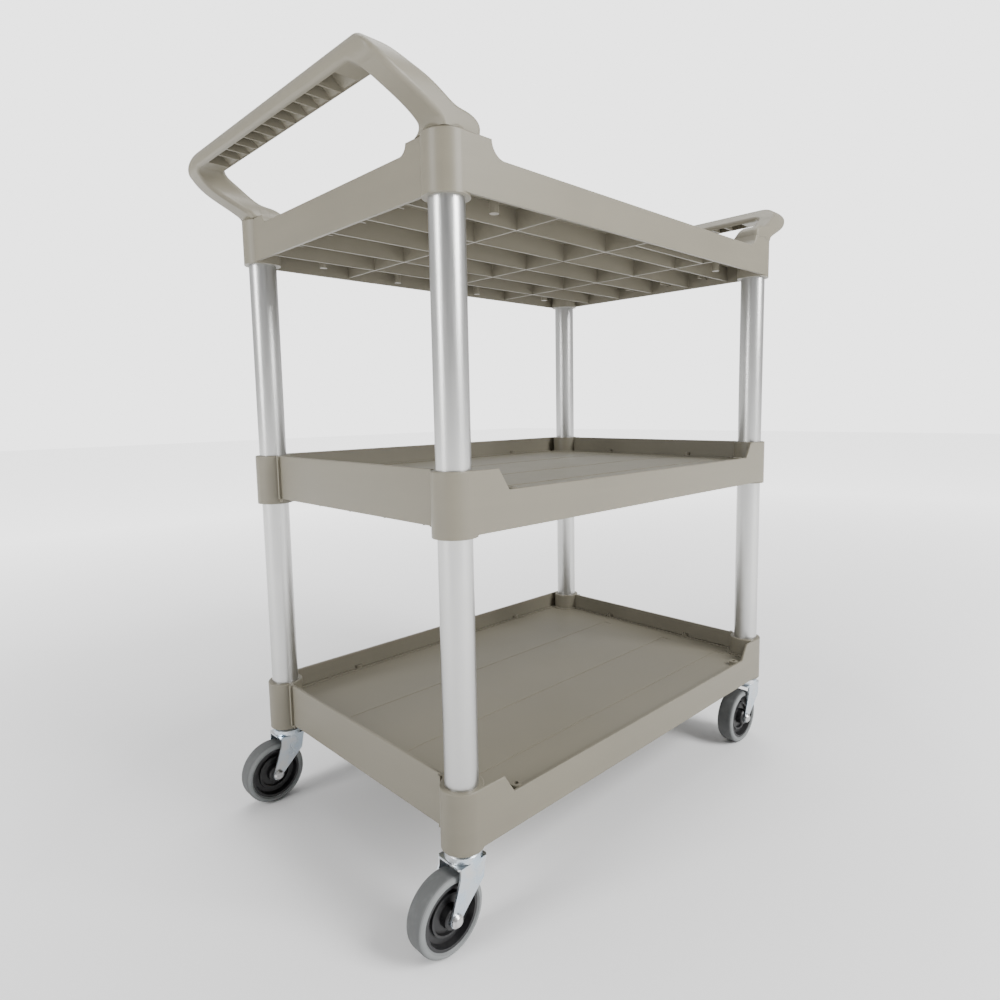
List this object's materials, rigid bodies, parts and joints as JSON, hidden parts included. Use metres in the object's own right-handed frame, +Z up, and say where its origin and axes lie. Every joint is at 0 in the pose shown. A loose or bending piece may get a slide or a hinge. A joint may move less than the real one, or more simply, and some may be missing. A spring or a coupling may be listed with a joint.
{
  "type": "food service trolley",
  "caption": "Utility serving cart with moulded tray shelves on tube uprights, push handles at both ends and swivel casters.",
  "frame": {"origin": "on the floor at the centre of the footprint", "axes": "+X along the length, +Y across to the high-backed long side, +Z up"},
  "size_m": [0.8544, 0.473, 0.939],
  "materials": {
    "platinum_plastic": "fine satin moulded grain",
    "upright_aluminium": "satin anodised",
    "fork_zinc": "bright zinc plate",
    "bolt_steel": "zinc plated steel",
    "ball_steel": "polished",
    "hub_plastic": "black moulded",
    "grey_tyre": "grey non-marking rubber",
    "insert_plastic": "black moulded"
  },
  "bodies": {
    "trolley": {"top_shelf": "platinum_plastic", "middle_shelf": "platinum_plastic", "bottom_shelf": "platinum_plastic", "handle_left": "platinum_plastic", "handle_right": "platinum_plastic", "handle_screws": "bolt_steel", "tube_plugs": "insert_plastic", "joining_dowels": "insert_plastic", "caster_sockets": "insert_plastic", "upper_upright_front_left": "upright_aluminium", "lower_upright_front_left": "upright_aluminium", "caster_stem_front_left": "fork_zinc", "upper_upright_front_right": "upright_aluminium", "lower_upright_front_right": "upright_aluminium", "caster_stem_front_right": "fork_zinc", "upper_upright_rear_left": "upright_aluminium", "lower_upright_rear_left": "upright_aluminium", "caster_stem_rear_left": "fork_zinc", "upper_upright_rear_right": "upright_aluminium", "lower_upright_rear_right": "upright_aluminium", "caster_stem_rear_right": "fork_zinc"},
    "swivel_front_left": {"fork_front_left": "fork_zinc", "caster_balls_front_left": "ball_steel", "axle_bolt_front_left": "bolt_steel", "axle_nut_front_left": "bolt_steel", "axle_spacer_front_left": "bolt_steel"},
    "wheel_front_left": {"wheel_core_front_left": "hub_plastic", "tyre_front_left": "grey_tyre"},
    "swivel_front_right": {"fork_front_right": "fork_zinc", "caster_balls_front_right": "ball_steel", "axle_bolt_front_right": "bolt_steel", "axle_nut_front_right": "bolt_steel", "axle_spacer_front_right": "bolt_steel"},
    "wheel_front_right": {"wheel_core_front_right": "hub_plastic", "tyre_front_right": "grey_tyre"},
    "swivel_rear_left": {"fork_rear_left": "fork_zinc", "caster_balls_rear_left": "ball_steel", "axle_bolt_rear_left": "bolt_steel", "axle_nut_rear_left": "bolt_steel", "axle_spacer_rear_left": "bolt_steel"},
    "wheel_rear_left": {"wheel_core_rear_left": "hub_plastic", "tyre_rear_left": "grey_tyre"},
    "swivel_rear_right": {"fork_rear_right": "fork_zinc", "caster_balls_rear_right": "ball_steel", "axle_bolt_rear_right": "bolt_steel", "axle_nut_rear_right": "bolt_steel", "axle_spacer_rear_right": "bolt_steel"},
    "wheel_rear_right": {"wheel_core_rear_right": "hub_plastic", "tyre_rear_right": "grey_tyre"}
  },
  "joints": [
    {"name": "swivel_front_left", "type": "hinge", "parent": "trolley", "child": "swivel_front_left", "pos_m": [-0.332, -0.2115, 0.0995], "axis": [0, 0, 1], "continuous": true},
    {"name": "roll_front_left", "type": "hinge", "parent": "swivel_front_left", "child": "wheel_front_left", "pos_m": [-0.36, -0.2115, 0.045], "axis": [0, 1, 0], "continuous": true},
    {"name": "swivel_front_right", "type": "hinge", "parent": "trolley", "child": "swivel_front_right", "pos_m": [0.332, -0.2115, 0.0995], "axis": [0, 0, 1], "continuous": true},
    {"name": "roll_front_right", "type": "hinge", "parent": "swivel_front_right", "child": "wheel_front_right", "pos_m": [0.304, -0.2115, 0.045], "axis": [0, 1, 0], "continuous": true},
    {"name": "swivel_rear_left", "type": "hinge", "parent": "trolley", "child": "swivel_rear_left", "pos_m": [-0.332, 0.2115, 0.0995], "axis": [0, 0, 1], "continuous": true},
    {"name": "roll_rear_left", "type": "hinge", "parent": "swivel_rear_left", "child": "wheel_rear_left", "pos_m": [-0.36, 0.2115, 0.045], "axis": [0, 1, 0], "continuous": true},
    {"name": "swivel_rear_right", "type": "hinge", "parent": "trolley", "child": "swivel_rear_right", "pos_m": [0.332, 0.2115, 0.0995], "axis": [0, 0, 1], "continuous": true},
    {"name": "roll_rear_right", "type": "hinge", "parent": "swivel_rear_right", "child": "wheel_rear_right", "pos_m": [0.304, 0.2115, 0.045], "axis": [0, 1, 0], "continuous": true}
  ]
}
